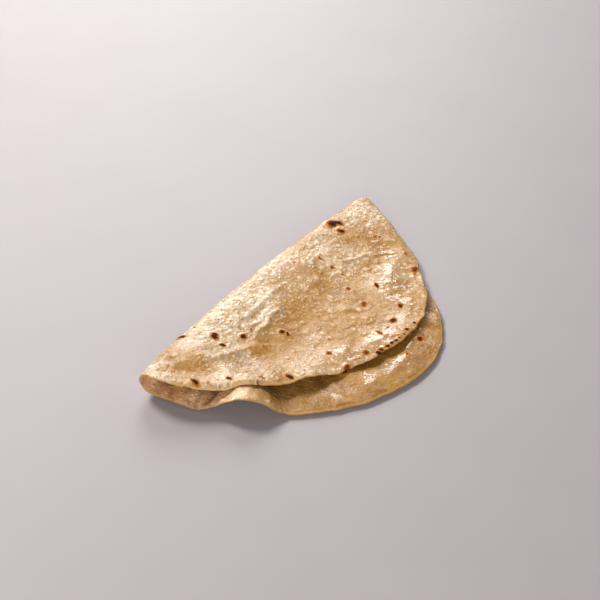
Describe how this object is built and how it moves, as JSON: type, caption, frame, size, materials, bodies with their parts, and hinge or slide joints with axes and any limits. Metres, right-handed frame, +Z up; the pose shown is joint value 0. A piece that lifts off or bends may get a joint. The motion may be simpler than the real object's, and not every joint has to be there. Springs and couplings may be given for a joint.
{
  "type": "chapati flatbread",
  "caption": "Round griddle-baked wheat flatbread, folded in half over a soft open crease, with a lifted lip and a gently waved edge.",
  "frame": {"origin": "middle of the bounding box seen from above, on the surface that the bread lies on", "axes": "+X along the crease, -Y towards the open side of the fold, +Z up"},
  "size_m": [0.204, 0.1114, 0.0161],
  "materials": {
    "baked_dough": "satin, lightly oiled wheat dough with pale blisters, golden mottling and small dark griddle marks"
  },
  "bodies": {
    "root": {"chapati": "baked_dough"}
  },
  "joints": []
}
